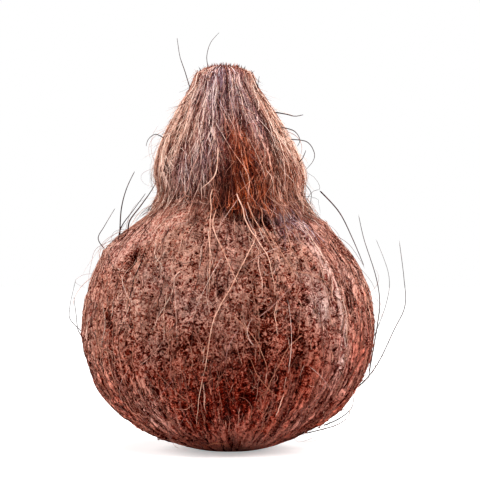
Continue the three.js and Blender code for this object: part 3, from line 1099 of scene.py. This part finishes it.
def layTuftCurls():
    # Broken strands that curl over the lower half of the tuft, thickest about the red mat and at the hem
    random = np.random.default_rng(73)
    tries = tuft["curls"] * 3
    start = anyAngle(random, tries)
    height = 101 + 50 * random.random((tries, 1)) ** 1.3
    likely = 0.3 + 0.7 * patches("redMat", start, height) + 0.3 * (height < 108)
    kept = keepLikely(random, likely, tuft["curls"])
    start, height, count = start[kept], height[kept], len(kept)
    t = np.linspace(0, 1, tuft["curlSteps"])[None]
    bow = random.uniform(1, 4.2, (count, 1))
    turned = anyAngle(random, count) + t * random.uniform(0.8, 3.4, (count, 1))
    squash = random.uniform(0.4, 1, (count, 1))
    tilt = anyAngle(random, count)
    angle, run = curled(start, height, bow, squash, turned, tilt)
    onTuft = rise(heightOn(run) - hemAt(angle), -4, 0)
    lift = onTuft * -0.9 + (1 - onTuft) * sampleCoat(coatLift, angle, run)
    lift = lift + 0.3 * random.random((count, 1)) + 1.1 * random.random((count, 1)) * np.sin(np.pi * t)
    widths = varied(random, tuft["curlWidth"], 0.3, count) * (1 - 0.5 * t**2)
    tone, rust, ageing = tuftColours(angle, height + 0 * t, random)
    strandBundle(
        "tuft_curls", placeOn(wholeRelief, angle, run, lift), widths,
        np.clip(tone + 0.1, 0, 1), np.clip(rust + 0.1, 0, 1), 0.4 * ageing, fibre, 74,
    )


def growFuzz():
    # Fine short hairs that leave the tuft at a low angle and bend away
    random = np.random.default_rng(66)
    count = tuft["fuzz"]
    t = np.linspace(0, 1, tuft["fuzzSteps"])[None]
    height = 103 + 54 * random.random((count, 1))
    length = 2.2 + 9 * random.random((count, 1)) ** 2.5
    run = runAt(height) - length * (0.55 + 0.3 * random.random((count, 1))) * t
    start = anyAngle(random, count)
    angle = start + random.normal(0, 0.12, (count, 1)) * t + random.normal(0, 0.1, (count, 1)) * t**2
    away = length * (0.12 + 0.55 * random.random((count, 1)) ** 1.5)
    lift = away * t ** (1 + random.random((count, 1))) - 0.8
    widths = varied(random, tuft["fuzzWidth"], 0.3, count) * (1 - 0.7 * t)
    tone, rust, ageing = tuftColours(angle, height + 0 * t, random)
    strandBundle(
        "tuft_fuzz", placeOn(wholeRelief, angle, run, lift), widths,
        np.clip(tone + 0.12, 0, 1), rust * 0.6, ageing * 0.5, fibre, 67,
    )


def standBristles():
    # The trimmed end of the tuft: short ends of fibre that stand up on the cap, each leaning its own way
    random = np.random.default_rng(68)
    count = tuft["bristles"]
    t = np.linspace(0, 1, tuft["bristleSteps"])[None]
    angle = anyAngle(random, count)
    out = nut["tipRadius"] * np.sqrt(random.random((count, 1))) * 0.9
    outward = np.concatenate([np.cos(angle), np.sin(angle)], 1)
    lean = random.normal(0, 0.8, (count, 2)) + 0.03 * out * outward
    flat = (out * outward + np.array(nut["tipLean"][:2]))[:, None] + lean[:, None] * t[..., None] ** 1.5
    rounded = 4.4 * (out / nut["tipRadius"]) ** 2.5
    z = nut["tipHeight"] - 4.2 - rounded + (2.5 + 1.9 * random.random((count, 1)) ** 2) * t
    widths = varied(random, tuft["bristleWidth"], 0.25, count) * (1 - 0.2 * t)
    toRight = rise(flat[:, 0, 0], -8, 6)
    tone = np.clip(0.36 - 0.12 * toRight + 0.18 * random.standard_normal(count), 0, 1)
    rust = np.clip(0.1 + 0.5 * toRight + 0.3 * random.random(count), 0, 1)
    strandBundle(
        "tuft_bristles", np.concatenate([flat, z[..., None]], -1), widths, tone, rust, 0.3 - 0.3 * toRight,
        fibre, 69,
    )


def layShoulderStrands():
    # Strands that come out under the hem and lie down over the shoulder of the nut. They are long and many
    # on the two front flanks, and few in the middle, where the torn pith is bare.
    random = np.random.default_rng(75)
    tries = tuft["shoulderStrands"] * 3
    start = anyAngle(random, tries)
    apron = bellAt(start, -135, 0.6)
    sides = softNoise(onCylinder(start, 0, 30), 9, 76)
    reach = np.clip(1 - bellAt(start, -86, 0.42) - 0.85 * apron + 0.35 * sides, 0.04, 1)
    kept = keepLikely(random, reach, tuft["shoulderStrands"])
    start, reach, apron, count = start[kept], reach[kept], apron[kept], len(kept)
    t = np.linspace(0, 1, tuft["shoulderSteps"])[None]
    top = runAt(105 + 5 * random.random((count, 1)))
    run = top - (8 + 26 * reach * random.random((count, 1)) ** 1.4) * t
    angle = start + random.normal(0, 0.1, (count, 1)) * t
    angle = angle + 0.015 * np.sin(8 * t + random.random((count, 1)) * 6)
    onTuft = rise(heightOn(run) - hemAt(angle), -2, 3)
    rest = sampleCoat(coatLift, angle, run)
    lift = (1 - onTuft) * np.maximum(evened(rest, 0.5), rest + 0.05) + onTuft * -1.7
    lift = lift + 0.35 * random.random((count, 1)) + 0.6 * random.random((count, 1)) ** 3 * t**2
    widths = varied(random, tuft["shoulderWidth"], 0.3, count) * (1 - 0.6 * t**3) * (1 - 0.35 * apron)
    apron = apron[:, 0]
    tone = np.clip(0.5 + 0.17 * random.standard_normal(count) * (1 - 0.5 * apron) + 0.12 * apron, 0.05, 0.98)
    grey = np.clip(0.1 + 0.8 * patches("greyShoulder", start[:, 0], 100), 0, 1)
    strandBundle(
        "shoulder_strands", placeOn(wholeRelief, angle, run, lift), widths, tone, 0.15 + 0 * tone, grey,
        fibre, 77,
    )


makeTuftCore()
layLocks()
layLoose()
layTuftCurls()
growFuzz()
standBristles()
layShoulderStrands()

strays = {"steps": 24, "scattered": 240, "scatteredSteps": 12, "scatteredWidth": 0.11}  # half width in mm
# Long pale strands that lie on the front: tone, half width, then side offset and height from top to bottom
lyingStrands = [
    (0.66, 0.28, [(-6, 108), (-6.6, 103), (-7.4, 87), (-7.8, 66)]),
    (0.66, 0.24, [(9.5, 93), (11, 89), (5, 77), (-1, 66), (-6, 57), (-9, 41), (-12.4, 21), (-13, 13)]),
    (0.7, 0.3, [(3, 106), (4, 102), (8.7, 92), (11, 88.5), (15.3, 81), (17.3, 75), (18.6, 66)]),
    (0.62, 0.24, [(7, 102), (8.7, 98), (14.8, 89), (19, 82)]),
    (0.72, 0.26, [(-2.9, 124), (-4.5, 114), (-10.7, 107.6)]),
    (0.64, 0.24, [(-5, 100), (-6, 92), (-2.5, 84), (2, 74), (5, 68)]),
    (0.6, 0.2, [(17, 108), (22, 96), (24.5, 84), (24, 74)]),
    (0.58, 0.2, [(12, 100), (16, 90), (24, 78), (27, 70)]),
    (0.5, 0.18, [(-44, 74), (-38, 62), (-37, 50)]),
    (0.55, 0.2, [(30, 50), (22, 42), (16, 30), (14, 24)]),
    (0.7, 0.28, [(-8.5, 4), (-4.5, 5.4), (0.8, 3)]),
    (0.6, 0.2, [(24, 76), (30, 75), (37, 72), (40, 68), (41, 64)]),
    (0.55, 0.17, [(2, 58), (10, 50), (14, 42), (16, 36)]),
    (0.55, 0.17, [(8, 42), (12, 34), (18, 27), (24, 24)]),
]
# Strands that fly free: half width, how rusty, then sideways, depth and height, each from its root
flyingStrands = [
    (0.24, 0, [(-15.5, 0, 147), (-18.1, -1, 155.7), (-20.2, -2, 162.1), (-21.4, -3, 169.9)]),
    (0.19, 0, [(-8.5, 1, 157), (-9.2, 1, 162.1), (-7.6, 1, 167.8), (-4, 0, 172)]),
    (0.22, 0, [(9.5, -4, 143), (11.1, -5, 147), (12.4, -6, 154)]),
    (0.34, 0.2, [(-45, -4, 88), (-44.3, -6, 99), (-42.1, -7, 107.6), (-38.6, -8, 115)]),
    (0.38, 0, [(-41.5, -8, 88), (-40.8, -8, 94.4), (-36.3, -8, 100.6), (-32.2, -6, 106.4), (-29, -6, 112)]),
    (0.32, 0, [(-45.5, -10, 86), (-43.9, -12, 92.4), (-38.8, -13, 99.4), (-34, -12, 106)]),
    (0.26, 0.2, [(-51, -8, 83), (-53.6, -8, 87.4), (-51, -9, 92.4), (-46.6, -9, 99.8)]),
    (0.24, 0.2, [(-58, -4, 44), (-61.9, -5, 49.1), (-62.8, -5, 55.3), (-63.9, -5, 63.5)]),
    (0.22, 0.2, [(-58, 4, 46), (-65.4, 4, 52.8), (-66, 4, 58.6), (-63.5, 4, 70.1)]),
    (0.24, 0.1, [(25, -6, 128), (31.8, -7, 127), (34.8, -7, 122.9), (34.5, -7, 119.2), (31, -7, 115)]),
    (0.22, 0.1, [(29, -3, 112), (33.6, -3, 106.4), (33.3, -3, 101.5)]),
    (0.38, 0, [(37, -8, 107), (45, -8, 98.2), (50.5, -8, 87.4), (55.5, -6, 75.7)]),
    (0.28, 0.2, [
        (57, -8, 29), (60.8, -8, 51.5), (61.8, -8, 61.9), (60, -8, 72.6), (55.3, -9, 87), (53, -9, 97.3),
    ]),
    (0.28, 0.4, [
        (53, -6, 26), (60.6, -8, 35.2), (67.6, -10, 49.9), (72, -12, 60), (71.4, -13, 72), (69.4, -14, 87),
    ]),
    (0.18, 0.1, [(59, 4, 44), (65, 4, 60), (66, 3, 72), (60.6, 2, 87)]),
    (0.34, 0.6, [(38.5, -14, 11), (45, -15, 14), (49.9, -15, 18.1), (51, -14, 23)]),
    (0.34, 0.6, [(31, -16, 8), (42.5, -16, 11), (47.4, -15, 13.6), (49.7, -14, 17)]),
    (0.26, 0.6, [(42, -12, 16), (47, -13, 17.5), (50.5, -12, 20.5)]),
    (0.32, 0.2, [(19, -6, 139), (23.5, -7, 138.2), (27, -8, 137.4), (30.5, -8, 138)]),
    (0.26, 0.3, [(21, -6, 133), (26.5, -8, 131.5), (29, -9, 128), (28, -9, 125)]),
    (0.3, 0.1, [(27, -5, 117), (30, -6, 120), (31.5, -6, 123.5)]),
    (0.24, 0.3, [(-26, -6, 128), (-30, -7, 130), (-33, -7, 128), (-34, -7, 125)]),
]


def allRoutes(routes):
    # Each route's few points become a smooth path of as many steps as the others
    return np.stack([throughPoints(np.array(route, float), strays["steps"]) for route in routes])


def layStrays():
    # The strands whose routes are given: those on the front are laid on the skin, with a slight waver,
    # and those that fly free keep their routes
    t = np.linspace(0, 1, strays["steps"])
    tone, width, routes = zip(*lyingStrands)
    sideways, height = np.moveaxis(allRoutes(routes), -1, 0)
    run = runAt(height)
    angle = -np.arccos(np.clip(sideways / radiusAt(height), -0.98, 0.98))
    # Each lies on the coat below the hem, and on the outer strands of the tuft above it
    onTuft = rise(heightOn(run) - hemAt(angle), -4, 1)
    rest = (1 - onTuft) * sampleCoat(coatLift, angle, run) + onTuft * 0.1
    lift = np.maximum(rest, evened(rest, 1)) + 0.55 + 0.5 * np.sin(np.pi * t) ** 2
    paths = placeOn(wholeRelief, angle, run, lift)
    paths = paths + 0.45 * np.stack([softNoise(paths, 5, seed) for seed in (82, 83, 84)], -1)
    rust = 0.15 + 0.6 * fall(height.mean(1), 4, 60)
    widths = np.array(width)[:, None] * (1 - 0.7 * t**3)
    strandBundle("long_pale_strands", paths, widths, np.array(tone), rust, 0 * rust, fibre, 85)
    width, rust, routes = zip(*flyingStrands)
    widths, rust = np.array(width)[:, None] * (1 - 0.55 * t), np.array(rust)
    strandBundle("flying_strands", allRoutes(routes), widths, 0 * rust + 0.12, rust, 0.6 - rust, fibre, 86)


def scatterStrays():
    # More of both kinds all round: each leaves the skin at a low angle, arcs away and droops
    random = np.random.default_rng(87)
    count = strays["scattered"]
    t = np.linspace(0, 1, strays["scatteredSteps"])[None]
    height = 14 + 128 * random.random((count, 1))
    start = anyAngle(random, count)
    length = 10 + 24 * random.random((count, 1))
    down = np.where(random.random((count, 1)) < 0.75, -1, 1)
    run = np.clip(runAt(height) + down * length * 0.8 * t, 30, sectionRun[-1] - 6)
    angle = start + random.normal(0, 0.22, (count, 1)) * t + random.normal(0, 0.12, (count, 1)) * t**2
    away = 1 + 7 * random.random((count, 1)) ** 1.5
    lift = -0.4 + away * np.sin(np.pi * t * random.uniform(0.45, 0.95, (count, 1)))
    widths = varied(random, strays["scatteredWidth"], 0.25, count) * (1 - 0.6 * t)
    tone = np.clip(0.45 + 0.2 * random.standard_normal(count), 0, 1)
    strandBundle(
        "stray_hairs", placeOn(wholeRelief, angle, run, lift, 0.4), widths, tone, 0.1 + 0 * tone,
        0.4 * random.random(count), fibre, 89,
    )


layStrays()
scatterStrays()
